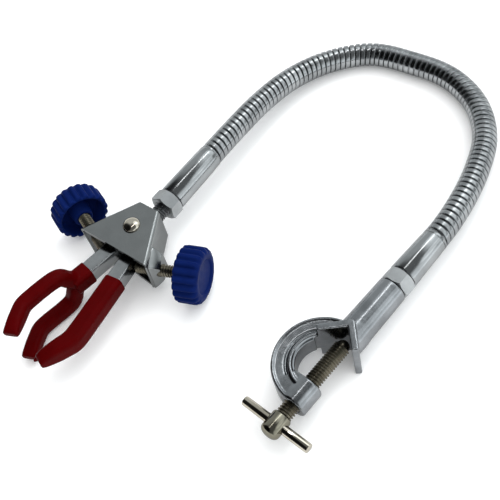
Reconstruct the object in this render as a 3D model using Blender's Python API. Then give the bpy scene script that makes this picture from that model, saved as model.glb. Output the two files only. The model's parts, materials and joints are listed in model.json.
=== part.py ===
"""Flexible-arm clamp: a three-prong head, a gooseneck and a screw clamp for a rod or a bench edge.

It lies on its side on a table, +Z up. Lengths below are in millimetres and are turned into metres
when a mesh or a placement is made. Local X of the head and of the clamp runs towards the gooseneck.
"""

import math

import bmesh
import bpy
from mathutils import Matrix, Vector
from mathutils.geometry import interpolate_bezier

MM = 0.001
GAP = 0.3

# Where the two ends lie: centre of the head's rivet, and the outer apex of the clamp's V jaw.
HEAD_PIVOT = Vector((-60.5, -3.4, 15.0))
HEAD_TURN = math.radians(53.0)
CLAMP_APEX = Vector((39.6, -62.1, 11.0))
CLAMP_TURN = math.radians(48.5)

# Gooseneck.
HOSE_RADIUS = 6.0
PLUG_RADIUS = 4.9
PLUG_LENGTH = 12.0
LINKS = 12
KNUCKLE_RADIUS = 7.5
ROUTE_FROM_HEAD = [
    (-7.7, 67.3, 13.6),
    (11.0, 90.2, 10.4),
    (34.1, 105.1, 7.5),
    (59.5, 108.3, 6.1),
    (82.9, 95.5, 6.1),
    (102.6, 76.8, 6.1),
    (109.0, 46.7, 7.0),
    (100.4, 16.8, 9.3),
]

# Threads and hex nuts (M8).
STUD_RADIUS = 4.0
NUT_ACROSS_FLATS = 13.0
NUT_LENGTH = 7.0
NUT_CHAMFER = 0.7  # length of the chamfer at each end
NUT_CHAMFER_SHARE = 0.92  # corner radius left at the end faces

# Head housing, folded sheet. X is measured from the rivet.
HOUSING_REAR_X = 12.6
HOUSING_FRONT_X = -13.9
HOUSING_REAR_HALF = 5.9
HOUSING_FRONT_HALF = 19.65
HOUSING_HALF_HEIGHT = 10.0
SHEET = 2.0
BEND_RADIUS = 2.6
NOTCH_DEPTH = 2.2
RIVET_RADIUS = 2.4

# Front fittings along the head's axis.
FRONT_NUT_X = 19.3
FRONT_FERRULE_X = 26.6
FRONT_FERRULE_LENGTH = 30.8

# Thumb screws (M6): the knob's centre, and how far its outer end leans back.
SCREW_RADIUS = 3.0
KNOB_CENTRE_X = -2.7
KNOB_CENTRE_Y = 37.3
SCREW_LEAN = math.radians(21.0)
KNOB_RADIUS = 12.9
KNOB_LOBES = 20
LUG_RADIUS = 5.2
LUG_HEIGHT = 4.2

# Arms. Centre lines run forward from the rivet in the head's X, Y, Z.
ARM_HALF_WIDTH = 3.7
ARM_HALF_HEIGHT = 4.0
EYE_RADIUS = 6.2
VINYL = 1.4
FORK_PRONG_Z = 11.0
FORK_STEM = [(-7.2, 4.6, 0), (-12.5, 5.2, 0), (-26.8, 7.4, 0), (-36.5, 9.3, 0)]
FORK_PRONG = [
    (-32.5, 8.7, 0),
    (-36.6, 9.7, 4.4),
    (-39.8, 10.5, 9.6),
    (-44.5, 11.5, FORK_PRONG_Z),
    (-56.0, 13.7, FORK_PRONG_Z),
    (-60.0, 13.9, FORK_PRONG_Z),
    (-63.6, 12.6, FORK_PRONG_Z),
    (-74.0, 8.0, FORK_PRONG_Z),
]
SINGLE_STEM = [
    (-7.2, -5.0, 0),
    (-12.5, -5.9, 0),
    (-24.5, -7.6, 0),
    (-54.5, -11.4, 0),
    (-58.6, -11.4, 0),
    (-62.2, -10.2, 0),
    (-74.6, -5.2, 0),
]
FORK_VINYL_X = -26.8
SINGLE_VINYL_X = -24.5

# Clamp, measured from the V jaw's apex.
JAW_REACHES = (11.4, 10.4)
JAW_PLATE = 3.0
JAW_HALF_HEIGHT = 11.0
BARREL_LENGTH = 25.8
REAR_NUT_X = 26.1
REAR_FERRULE_X = 33.4
REAR_FERRULE_LENGTH = 24.9
BOW_CENTRE = Vector((-22.1, 0.5, 0.0))
BOW_OUTER = 21.7
BOW_INNER = 11.4
BOW_HALF_HEIGHT = 6.0
BOSS_X = (-43.4, -31.2)
BOSS_RADIUS = 6.5
CLAMP_SCREW_RADIUS = 3.8
CLAMP_SCREW_TIP_X = -6.4
CLAMP_SCREW_HEAD_X = -48.8
CLAMP_SCREW_END_X = -59.6
CLAMP_HEAD_RADIUS = 4.5
TEE_BAR_X = -53.3
TEE_BAR_RADIUS = 2.2
TEE_BAR_HALF_LENGTH = 17.6

FINISHES = {
    "polished_chrome": ((0.62, 0.64, 0.65), 1.0, 0.12),
    "cast_chrome": ((0.60, 0.61, 0.60), 1.0, 0.24),
    "gooseneck_steel": ((0.55, 0.58, 0.60), 1.0, 0.20),
    "nickel_steel": ((0.60, 0.56, 0.49), 1.0, 0.22),
    "black_steel": ((0.05, 0.05, 0.055), 1.0, 0.45),
    "spring_steel": ((0.35, 0.35, 0.36), 1.0, 0.35),
    "red_vinyl": ((0.23, 0.012, 0.016), 0.0, 0.28),
    "blue_plastic": ((0.02, 0.10, 0.42), 0.0, 0.42),
}


def clear_scene():
    for item in list(bpy.data.objects):
        bpy.data.objects.remove(item, do_unlink=True)


def finish(obj, slot):
    """Gives the object its material, one for each finish."""
    colour, metallic, roughness = FINISHES[slot]
    material = bpy.data.materials.get(slot) or bpy.data.materials.new(slot)
    material.use_nodes = True
    shader = material.node_tree.nodes["Principled BSDF"]
    shader.inputs["Base Color"].default_value = (*colour, 1.0)
    shader.inputs["Metallic"].default_value = metallic
    shader.inputs["Roughness"].default_value = roughness
    material.diffuse_color = (*colour, 1.0)
    obj.data.materials.clear()
    obj.data.materials.append(material)


def empty(name, place, turn, parent=None):
    """An empty at a place in millimetres, turned about Z."""
    obj = bpy.data.objects.new(name, None)
    bpy.context.collection.objects.link(obj)
    obj.location = Vector(place) * MM
    obj.rotation_euler = (0.0, 0.0, turn)
    obj.parent = parent
    return obj


def add(name, bm, slot, parent=None, smooth=True):
    """Turns a mesh in millimetres into an object under a parent."""
    bmesh.ops.scale(bm, vec=(MM, MM, MM), verts=bm.verts)
    bmesh.ops.recalc_face_normals(bm, faces=bm.faces)
    mesh = bpy.data.meshes.new(name)
    bm.to_mesh(mesh)
    bm.free()
    obj = bpy.data.objects.new(name, mesh)
    bpy.context.collection.objects.link(obj)
    obj.parent = parent
    if smooth:
        mesh.shade_smooth()
        mesh.set_sharp_from_angle(angle=math.radians(35))
    if slot:
        finish(obj, slot)
    return obj


def combine(obj, other, operation):
    """Adds or cuts another object with a Boolean; the other one becomes a hidden guide."""
    modifier = obj.modifiers.new(operation.lower() + "_" + other.name, "BOOLEAN")
    modifier.operation = operation
    modifier.solver = "EXACT"
    modifier.object = other
    other.hide_render = True
    other.display_type = "WIRE"


def skin(rings, first_pole=None, last_pole=None):
    """A closed skin over rings of points; an end is a pole, or a flat face without one."""
    bm = bmesh.new()
    rows = [[bm.verts.new(point) for point in ring] for ring in rings]
    count = len(rows[0])
    for row, following in zip(rows, rows[1:]):
        for i in range(count):
            k = (i + 1) % count
            bm.faces.new((row[i], row[k], following[k], following[i]))
    for row, pole in ((rows[0], first_pole), (rows[-1], last_pole)):
        if pole is None:
            bm.faces.new(row)
            continue
        tip = bm.verts.new(pole)
        for i in range(count):
            bm.faces.new((row[i], row[(i + 1) % count], tip))
    return bm


def circle(x, radius, sides):
    """A ring about the local X axis."""
    turns = [2 * math.pi * i / sides for i in range(sides)]
    return [Vector((x, radius * math.cos(a), radius * math.sin(a))) for a in turns]


def turned(profile, sides, first_pole=None, last_pole=None):
    """A turned piece about X from (x, radius) pairs; a pole is the x of a closing point."""
    poles = [None if x is None else Vector((x, 0, 0)) for x in (first_pole, last_pole)]
    return skin([circle(x, radius, sides) for x, radius in profile], *poles)


def tube(profile_out, profile_in, sides):
    """A turned piece with a through hole: the outer profile, then the inner one back to its start."""
    rings = [circle(x, radius, sides) for x, radius in profile_out + profile_in[::-1]]
    bm = bmesh.new()
    rows = [[bm.verts.new(point) for point in ring] for ring in rings]
    for row, following in zip(rows, rows[1:] + rows[:1]):
        for i in range(sides):
            k = (i + 1) % sides
            bm.faces.new((row[i], row[k], following[k], following[i]))
    return bm


def prism(outline, low, high):
    """An outline in X and Y, extruded from one height to another."""
    return skin([[Vector((x, y, z)) for x, y in outline] for z in (low, high)])


def disc_outline(x, y, radius, sides):
    turns = [2 * math.pi * i / sides for i in range(sides)]
    return [(x + radius * math.cos(a), y + radius * math.sin(a)) for a in turns]


def smooth_path(points, steps):
    """Points on a smooth curve through the given ones, with handles a third of each span long."""
    knots = [Vector(point) for point in points]
    slopes = []
    for i, knot in enumerate(knots):
        before = knots[max(i - 1, 0)]
        after = knots[min(i + 1, len(knots) - 1)]
        slopes.append((after - before).normalized())
    path = [knots[0]]
    for i in range(len(knots) - 1):
        reach = (knots[i + 1] - knots[i]).length / 3
        start_handle = knots[i] + slopes[i] * reach
        end_handle = knots[i + 1] - slopes[i + 1] * reach
        path += interpolate_bezier(knots[i], start_handle, end_handle, knots[i + 1], steps + 1)[1:]
    return path


def section(centre, forward, half_width, half_height, sides, power):
    """A rounded-rectangle ring square to the forward direction, its width level."""
    side = Vector((forward.y, -forward.x, 0)).normalized()
    rise = side.cross(forward).normalized()
    ring = []
    for i in range(sides):
        a = 2 * math.pi * (i + 0.5) / sides
        across = math.copysign(abs(math.cos(a)) ** power, math.cos(a)) * half_width
        up = math.copysign(abs(math.sin(a)) ** power, math.sin(a)) * half_height
        ring.append(centre + side * across + rise * up)
    return ring


def bar(path, half_width, half_height, sides=12, power=0.45, round_end=0.0):
    """A bar with a rounded-rectangle section along a path; its last end may be rounded off."""
    rings = []
    for i, centre in enumerate(path):
        forward = (path[min(i + 1, len(path) - 1)] - path[max(i - 1, 0)]).normalized()
        rings.append(section(centre, forward, half_width, half_height, sides, power))
    if round_end:
        forward = (path[-1] - path[-2]).normalized()
        for share in (0.5, 0.82, 1.0):
            shrink = math.sqrt(1 - (0.93 * share) ** 2)
            centre = path[-1] + forward * round_end * share
            rings.append(
                section(centre, forward, half_width * shrink, half_height * shrink, sides, power)
            )
    return skin(rings)


# Gooseneck.


def route():
    """Dense points of the gooseneck's centre line, from the clamp's ferrule to the head's."""
    head_axis = Vector((math.cos(HEAD_TURN), math.sin(HEAD_TURN), 0))
    clamp_axis = Vector((math.cos(CLAMP_TURN), math.sin(CLAMP_TURN), 0))
    head_end = HEAD_PIVOT + head_axis * (FRONT_FERRULE_X + FRONT_FERRULE_LENGTH)
    clamp_end = CLAMP_APEX + clamp_axis * (REAR_FERRULE_X + REAR_FERRULE_LENGTH)
    knots = [head_end] + [Vector(point) for point in ROUTE_FROM_HEAD] + [clamp_end]
    knots.reverse()
    slopes = [clamp_axis]
    for before, after in zip(knots, knots[2:]):
        slopes.append((after - before).normalized())
    slopes.append(-head_axis)
    dense = [knots[0]]
    for i in range(len(knots) - 1):
        reach = (knots[i + 1] - knots[i]).length / 3
        start_handle = knots[i] + slopes[i] * reach
        end_handle = knots[i + 1] - slopes[i + 1] * reach
        dense += interpolate_bezier(knots[i], start_handle, end_handle, knots[i + 1], 25)[1:]
    return dense


def distances(dense):
    marks = [0.0]
    for before, after in zip(dense, dense[1:]):
        marks.append(marks[-1] + (after - before).length)
    return marks


def place_on(dense, marks, distance):
    """The point and the direction of the centre line at a distance from its start."""
    if distance <= 0:
        forward = (dense[1] - dense[0]).normalized()
        return dense[0] + forward * distance, forward
    if distance >= marks[-1]:
        forward = (dense[-1] - dense[-2]).normalized()
        return dense[-1] + forward * (distance - marks[-1]), forward
    i = max(k for k in range(len(marks) - 1) if marks[k] <= distance)
    share = (distance - marks[i]) / (marks[i + 1] - marks[i])
    before = (dense[i + 1] - dense[max(i - 1, 0)]).normalized()
    after = (dense[min(i + 2, len(dense) - 1)] - dense[i]).normalized()
    return dense[i].lerp(dense[i + 1], share), before.lerp(after, share).normalized()


def hose_ring(centre, forward, radius):
    return section(centre, forward, radius, radius, 16, 1.0)


def knuckle_rings(pivot, forward, radius):
    """Rings over the part of a ball about the pivot that lies inside the hose, rim first."""
    rim = math.asin(HOSE_RADIUS / radius)
    rings = []
    for share in (1.0, 0.66, 0.33):
        angle = rim * share
        centre = pivot + forward * radius * math.cos(angle)
        rings.append(hose_ring(centre, forward, radius * math.sin(angle)))
    return rings, pivot + forward * radius


def gooseneck_link(number, dense, marks):
    """One length of the gooseneck. Its ends are parts of balls about the pivots it shares."""
    pitch = marks[-1] / LINKS
    start, end = number * pitch, (number + 1) * pitch
    origin, toward = place_on(dense, marks, start)
    rings, first_pole, last_pole = [], None, None
    if number == 0:
        rings.append(hose_ring(*place_on(dense, marks, -PLUG_LENGTH), PLUG_RADIUS))
        rings.append(hose_ring(*place_on(dense, marks, GAP), PLUG_RADIUS))
        rings.append(hose_ring(*place_on(dense, marks, GAP), HOSE_RADIUS))
        body_from = 6.0
    else:
        cup, first_pole = knuckle_rings(origin, toward, KNUCKLE_RADIUS + GAP / 2)
        rings += cup[::-1]
        body_from = 8.5
    last = number == LINKS - 1
    body_to = pitch - GAP if last else pitch - 2.0
    for i in range(4):
        distance = start + body_from + (body_to - body_from) * i / 3
        rings.append(hose_ring(*place_on(dense, marks, distance), HOSE_RADIUS))
    if last:
        rings.append(hose_ring(*place_on(dense, marks, end - GAP), PLUG_RADIUS))
        rings.append(hose_ring(*place_on(dense, marks, end + PLUG_LENGTH), PLUG_RADIUS))
    else:
        ball, last_pole = knuckle_rings(*place_on(dense, marks, end), KNUCKLE_RADIUS - GAP / 2)
        rings += ball
    rings = [[point - origin for point in ring] for ring in rings]
    poles = [None if pole is None else pole - origin for pole in (first_pole, last_pole)]
    link = add(f"gooseneck_link_{number + 1:02d}", skin(rings, *poles), "gooseneck_steel")
    link.location = origin * MM


def gooseneck():
    dense = route()
    marks = distances(dense)
    for number in range(LINKS):
        gooseneck_link(number, dense, marks)


# Fittings at both ends.


def hex_nut(name, x, parent):
    """A chamfered hex nut with a clear hole for its stud."""
    corner = NUT_ACROSS_FLATS / 2 / math.cos(math.pi / 6)
    hole = STUD_RADIUS + GAP
    bm = bmesh.new()
    rows = []
    profile = (
        (0.0, NUT_CHAMFER_SHARE),
        (NUT_CHAMFER, 1.0),
        (NUT_LENGTH - NUT_CHAMFER, 1.0),
        (NUT_LENGTH, NUT_CHAMFER_SHARE),
    )
    for offset, share in profile:
        ring = [
            Vector((x + offset, share * corner * math.cos(a), share * corner * math.sin(a)))
            for a in (math.pi / 3 * k + math.pi / 6 for k in range(6))
        ]
        rows.append([bm.verts.new(point) for point in ring])
    for row, following in zip(rows, rows[1:]):
        for i in range(6):
            k = (i + 1) % 6
            bm.faces.new((row[i], row[k], following[k], following[i]))
    bm.faces.new(rows[0])
    bm.faces.new(rows[-1])
    nut = add(name, bm, "polished_chrome", parent, smooth=False)
    drill_along_x(nut, x - 2, x + NUT_LENGTH + 2, hole, parent)


def drill_along_x(obj, start, end, radius, parent, sides=24):
    cutter = add("drill_" + obj.name, turned([(start, radius), (end, radius)], sides), None, parent)
    combine(obj, cutter, "DIFFERENCE")


def ferrule(name, x, length, nut_radius, hose_radius, ring, parent):
    """A turned end fitting: a stud's bore at the nut end and the hose's bore, with a ring, at the other."""
    end = x + length
    stud_bore = STUD_RADIUS + GAP
    hose_bore = PLUG_RADIUS + GAP
    outer = [
        (x, nut_radius - 0.3),
        (x + 0.3, nut_radius),
        (end - 2.2, hose_radius),
        (end - 1.8, hose_radius - 0.25),
        (end - 1.4, hose_radius + ring),
        (end - 0.3, hose_radius + ring),
        (end, hose_radius - 0.1),
    ]
    inner = [
        (x, stud_bore),
        (x + length - 13.4, stud_bore),
        (x + length - 13.4, hose_bore),
        (end, hose_bore),
    ]
    return add(name, tube(outer, inner, 28), "polished_chrome", parent)


def stud(name, start, end, slot, parent):
    chamfer = 0.6
    profile = [
        (start, STUD_RADIUS - chamfer),
        (start + chamfer, STUD_RADIUS),
        (end - chamfer, STUD_RADIUS),
        (end, STUD_RADIUS - chamfer),
    ]
    add(name, turned(profile, 24), slot, parent)


# Head.


def wall_half_width(x):
    share = (HOUSING_REAR_X - x) / (HOUSING_REAR_X - HOUSING_FRONT_X)
    return HOUSING_REAR_HALF + (HOUSING_FRONT_HALF - HOUSING_REAR_HALF) * share


def shell_lines(x, half, notch):
    """Outer and inner points of the folded shell's section at one x, the notch only in its top."""
    height = HOUSING_HALF_HEIGHT
    outer, inner = [], []
    for sign in (-1, 1):
        side_out, side_in = [], []
        for turn in (0.0, 0.25, 0.5, 0.75, 1.0):
            a = turn * math.pi / 2
            for line, radius in ((side_out, BEND_RADIUS), (side_in, BEND_RADIUS - SHEET)):
                y = half - BEND_RADIUS + radius * math.cos(a)
                z = height - BEND_RADIUS + radius * math.sin(a)
                setback = notch * (1 - y / half) if z > height - BEND_RADIUS else 0.0
                line.append(Vector((x + setback, sign * y, z)))
        side_out.insert(0, Vector((x, sign * half, -height)))
        side_in.insert(0, Vector((x, sign * (half - SHEET), -height)))
        if sign < 0:
            outer, inner = side_out, side_in
            outer.append(Vector((x + notch, 0, height)))
            inner.append(Vector((x + notch, 0, height - SHEET)))
        else:
            outer += side_out[::-1]
            inner += side_in[::-1]
    return outer, inner


def housing_shell(head):
    """Top plate and side walls, folded from one sheet, open in front, at the back and below."""
    rear = shell_lines(HOUSING_REAR_X, HOUSING_REAR_HALF, 0.0)
    front = shell_lines(HOUSING_FRONT_X, HOUSING_FRONT_HALF, NOTCH_DEPTH)
    rings = [outer + inner[::-1] for outer, inner in (rear, front)]
    bm = bmesh.new()
    rows = [[bm.verts.new(point) for point in ring] for ring in rings]
    count = len(rows[0])
    for i in range(count):
        k = (i + 1) % count
        bm.faces.new((rows[0][i], rows[0][k], rows[1][k], rows[1][i]))
    for row in rows:
        for i in range(count // 2 - 1):
            bm.faces.new((row[i], row[i + 1], row[count - 2 - i], row[count - 1 - i]))
    shell = add("housing_shell", bm, "polished_chrome", head)
    for side, frame in screw_frames(head).items():
        wall = wall_distance()
        lug_face = wall + LUG_HEIGHT
        profile = [
            (wall - 0.9, LUG_RADIUS),
            (lug_face - 0.6, LUG_RADIUS),
            (lug_face, LUG_RADIUS - 0.6),
        ]
        lug = add("lug_" + side, turned(profile, 24), None, frame)
        combine(shell, lug, "UNION")
    for side, frame in screw_frames(head).items():
        profile = [(wall_distance() - 8, SCREW_RADIUS + GAP), (wall_distance() + 9, SCREW_RADIUS + GAP)]
        combine(shell, add("screw_hole_" + side, turned(profile, 24), None, frame), "DIFFERENCE")
    hole = prism(disc_outline(0, 0, RIVET_RADIUS + GAP, 24), 5, 14)
    combine(shell, add("rivet_hole_top", hole, None, head), "DIFFERENCE")


def housing_base(head):
    """Bottom plate between the side walls."""
    inset = SHEET + GAP
    outline = [
        (HOUSING_REAR_X, wall_half_width(HOUSING_REAR_X) - inset),
        (HOUSING_FRONT_X, wall_half_width(HOUSING_FRONT_X) - inset),
        (HOUSING_FRONT_X + NOTCH_DEPTH, 0),
    ]
    outline += [(x, -y) for x, y in outline[1::-1]]
    low = -HOUSING_HALF_HEIGHT
    plate = add("housing_base", prism(outline, low, low + SHEET), "polished_chrome", head, smooth=False)
    hole = prism(disc_outline(0, 0, RIVET_RADIUS + GAP, 24), low - 2, low + SHEET + 2)
    combine(plate, add("rivet_hole_base", hole, None, head), "DIFFERENCE")


def housing_end_block(head):
    """Block between the plates that holds the front stud."""
    start, end = 7.6, HOUSING_REAR_X - GAP
    inset = SHEET + 0.5
    outline = [
        (start, wall_half_width(start) - inset),
        (end, wall_half_width(end) - inset),
        (end, -wall_half_width(end) + inset),
        (start, -wall_half_width(start) + inset),
    ]
    reach = HOUSING_HALF_HEIGHT - SHEET - GAP
    block = add("housing_end_block", prism(outline, -reach, reach), "black_steel", head, smooth=False)
    drill_along_x(block, start - 2, end + 8, STUD_RADIUS + GAP, head)


def pivot_rivet(head):
    """Rivet through the plates and both eyes, with a domed head on top and a flat one below."""
    top, low = HOUSING_HALF_HEIGHT + 0.2, -HOUSING_HALF_HEIGHT - 0.2
    head_radius, rise = 4.1, 2.0
    profile = [(low - 1.2, 3.4), (low - 0.6, 4.1), (low, 4.1), (low, RIVET_RADIUS)]
    profile.append((top, RIVET_RADIUS))
    for share in (0.0, 0.3, 0.55, 0.78, 0.93):
        a = share * math.pi / 2
        profile.append((top + rise * math.sin(a), head_radius * math.cos(a)))
    bm = turned(profile, 24, last_pole=top + rise)
    bmesh.ops.rotate(bm, verts=bm.verts, matrix=Matrix.Rotation(-math.pi / 2, 3, "Y"))
    add("pivot_rivet", bm, "nickel_steel", head)


def arm_spring(head):
    """Torsion spring round the rivet, above the arms' eyes, with both legs forward."""
    wire, coil = 0.45, 4.9
    low, high = ARM_HALF_HEIGHT + 0.95, HOUSING_HALF_HEIGHT - SHEET - 0.75
    turns, steps = 1.8, 30
    path = [Vector((-11.0, 5.6, low))]
    first = math.radians(118)
    for i in range(steps + 1):
        a = first - 2 * math.pi * turns * i / steps
        path.append(Vector((coil * math.cos(a), coil * math.sin(a), low + (high - low) * i / steps)))
    path.append(Vector((-11.0, -5.6, high)))
    rings = []
    for i, centre in enumerate(path):
        forward = (path[min(i + 1, len(path) - 1)] - path[max(i - 1, 0)]).normalized()
        rings.append(section(centre, forward, wire, wire, 6, 1.0))
    add("arm_spring", skin(rings), "spring_steel", head)


def pivot_spacer(head):
    low, high = -HOUSING_HALF_HEIGHT + SHEET + GAP, -ARM_HALF_HEIGHT - GAP
    profile_in = [(low, RIVET_RADIUS + GAP), (high, RIVET_RADIUS + GAP)]
    bm = tube([(low, 5.4), (high, 5.4)], profile_in, 24)
    bmesh.ops.rotate(bm, verts=bm.verts, matrix=Matrix.Rotation(-math.pi / 2, 3, "Y"))
    add("pivot_spacer", bm, "nickel_steel", head)


def arm_eye(name, stem, low, high, head):
    """The half-height eye and neck that join an arm to the rivet."""
    reach = Vector((stem[1][0], stem[1][1]))
    along = reach.normalized()
    across = Vector((-along.y, along.x)) * (ARM_HALF_WIDTH - 0.3)
    far = Vector((stem[0][0], stem[0][1])) * 1.25
    outline = [tuple(across), tuple(far + across), tuple(far - across), tuple(-across)]
    neck = add(name + "_neck", prism(outline, low + 0.02, high - 0.02), None, head)
    eye = add(name + "_eye", prism(disc_outline(0, 0, EYE_RADIUS, 28), low, high), None, head)
    combine(eye, neck, "UNION")
    return eye


def finish_arm(arm, name, stem, low, high, head):
    combine(arm, arm_eye(name, stem, low, high, head), "UNION")
    hole = prism(disc_outline(0, 0, RIVET_RADIUS + GAP, 24), low - 2, high + 2)
    combine(arm, add(name + "_pivot_hole", hole, None, head), "DIFFERENCE")


def fork_pieces(name, grow, stem_end, start_x, sides, head, slot):
    """The fork's stem and both prongs, grown on all sides by an amount."""
    stem_path = [point for point in smooth_path(FORK_STEM, 3) if point.x <= start_x]
    width, height = ARM_HALF_WIDTH + grow, ARM_HALF_HEIGHT + grow
    stem_path[-1] = stem_path[-1] + Vector((-stem_end, stem_end * 0.2, 0))
    stem = add(name, bar(stem_path, width, height * 0.98, sides), slot, head)
    for label, sign in (("upper", 1), ("lower", -1)):
        knots = [(x, y, z * sign) for x, y, z in FORK_PRONG]
        path = smooth_path(knots, 2)
        half = 2.3 + grow
        prong = add(
            f"{name}_{label}_prong",
            bar(path, half, half, sides, 0.7, round_end=1.0 + grow),
            None,
            head,
        )
        combine(stem, prong, "UNION")
    return stem


def fork_arm(head):
    arm = fork_pieces("fork_arm", 0.0, 0.0, 0.0, 12, head, "polished_chrome")
    finish_arm(arm, "fork_arm", FORK_STEM, 0.15, ARM_HALF_HEIGHT, head)


def fork_vinyl(head):
    """Dip coating over the fork; the steel inside is cut out of it with clearance."""
    coat = fork_pieces("fork_vinyl", VINYL, 0.6, FORK_VINYL_X, 14, head, "red_vinyl")
    core = fork_pieces("fork_core", 0.2, 0.3, 0.0, 12, head, None)
    combine(coat, core, "DIFFERENCE")


def single_arm_bar(name, grow, start_x, sides, head, slot):
    """The single arm narrows a little from its stem to its prong."""
    path = [point for point in smooth_path(SINGLE_STEM, 3) if point.x <= start_x]
    width, height = ARM_HALF_WIDTH - 0.1 + grow, ARM_HALF_HEIGHT - 0.1 + grow
    return add(name, bar(path, width, height, sides, round_end=1.0 + grow), slot, head)


def single_arm(head):
    arm = single_arm_bar("single_arm", 0.0, 0.0, 12, head, "polished_chrome")
    finish_arm(arm, "single_arm", SINGLE_STEM, -ARM_HALF_HEIGHT, -0.15, head)


def single_vinyl(head):
    coat = single_arm_bar("single_vinyl", VINYL, SINGLE_VINYL_X, 14, head, "red_vinyl")
    core = single_arm_bar("single_core", 0.2, 0.0, 12, head, None)
    combine(coat, core, "DIFFERENCE")


# Thumb screws and knobs. Each screw's frame has X pointing out of the head, from its knob's centre.


def screw_frames(head):
    frames = {}
    for side, sign in (("fork", 1), ("single", -1)):
        name = side + "_screw_axis"
        frames[side] = bpy.data.objects.get(name) or empty(
            name,
            (KNOB_CENTRE_X, sign * KNOB_CENTRE_Y, 0),
            sign * (math.pi / 2 - SCREW_LEAN),
            head,
        )
    return frames


def wall_distance():
    """X in a screw's frame where it comes out of the side wall."""
    slope = (HOUSING_FRONT_HALF - HOUSING_REAR_HALF) / (HOUSING_REAR_X - HOUSING_FRONT_X)
    gap_to_wall = KNOB_CENTRE_Y - wall_half_width(KNOB_CENTRE_X)
    return -gap_to_wall / (math.cos(SCREW_LEAN) + slope * math.sin(SCREW_LEAN))


def tip_distance(stem):
    """X in a screw's frame where it meets the outer face of an arm."""
    (ax, ay, _), (bx, by, _) = stem[1], stem[2]
    ay, by = abs(ay), abs(by)
    length = math.hypot(bx - ax, by - ay)
    normal = Vector(((by - ay) / length, (ax - bx) / length))
    face = Vector((ax, ay)) + normal * ARM_HALF_WIDTH
    knob = Vector((KNOB_CENTRE_X, KNOB_CENTRE_Y))
    out = Vector((math.sin(SCREW_LEAN), math.cos(SCREW_LEAN)))
    return (face - knob).dot(normal) / out.dot(normal)


def thumb_screw(side, stem, frame):
    """Threaded rod from the arm to the inside of its knob; its tip is a low dome."""
    tip = tip_distance(stem) + GAP
    profile = [
        (tip + 0.25, 1.4),
        (tip + 0.8, 2.3),
        (tip + 1.8, SCREW_RADIUS),
        (0.6, SCREW_RADIUS),
        (1.0, SCREW_RADIUS - 0.4),
    ]
    add(side + "_thumb_screw", turned(profile, 20, first_pole=tip), "nickel_steel", frame)


def knob_radius(radius, lobe, turn):
    """Round lobes with narrow grooves between them."""
    groove = abs(math.cos(turn * KNOB_LOBES / 2)) ** 3
    return radius - lobe * 0.9 * groove


def knob(side, frame):
    """Lobed knob, hollow on its inner side round a hub that holds the screw."""
    points = KNOB_LOBES * 2
    bore = SCREW_RADIUS + GAP
    outer, inner, recess = 5.2, -5.2, 4.4
    profile = [
        (recess, 7.6, 0.0),
        (outer, 8.4, 0.0),
        (outer, 10.4, 0.0),
        (outer - 1.6, KNOB_RADIUS - 0.1, 1.0),
        (inner + 0.6, KNOB_RADIUS, 1.0),
        (inner, KNOB_RADIUS - 0.5, 1.0),
        (inner, 10.8, 0.0),
        (1.6, 10.2, 0.0),
        (1.6, 5.4, 0.0),
        (inner - 1.2, 4.9, 0.0),
        (inner - 1.2, bore, 0.0),
        (1.4, bore, 0.0),
    ]
    rings = []
    for x, radius, lobe in profile:
        ring = []
        for i in range(points):
            a = 2 * math.pi * i / points
            r = knob_radius(radius, lobe, a)
            ring.append(Vector((x, r * math.cos(a), r * math.sin(a))))
        rings.append(ring)
    add(side + "_knob", skin(rings, Vector((recess, 0, 0)), Vector((1.4, 0, 0))), "blue_plastic", frame)


# Clamp.


def bow_ring(angle):
    """Section of the bow, an I-beam with shallow channels, at an angle from the barrel."""
    shape = [
        (BOW_OUTER, BOW_HALF_HEIGHT - 0.8),
        (BOW_OUTER - 0.8, BOW_HALF_HEIGHT),
        (BOW_OUTER - 2.4, BOW_HALF_HEIGHT),
        (BOW_OUTER - 3.2, BOW_HALF_HEIGHT - 1.4),
        (BOW_INNER + 3.0, BOW_HALF_HEIGHT - 1.4),
        (BOW_INNER + 2.2, BOW_HALF_HEIGHT),
        (BOW_INNER + 0.8, BOW_HALF_HEIGHT),
        (BOW_INNER, BOW_HALF_HEIGHT - 0.8),
    ]
    shape += [(radius, -z) for radius, z in reversed(shape)]
    out = Vector((math.cos(angle), math.sin(angle), 0))
    return [BOW_CENTRE + out * radius + Vector((0, 0, z)) for radius, z in shape]


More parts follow.
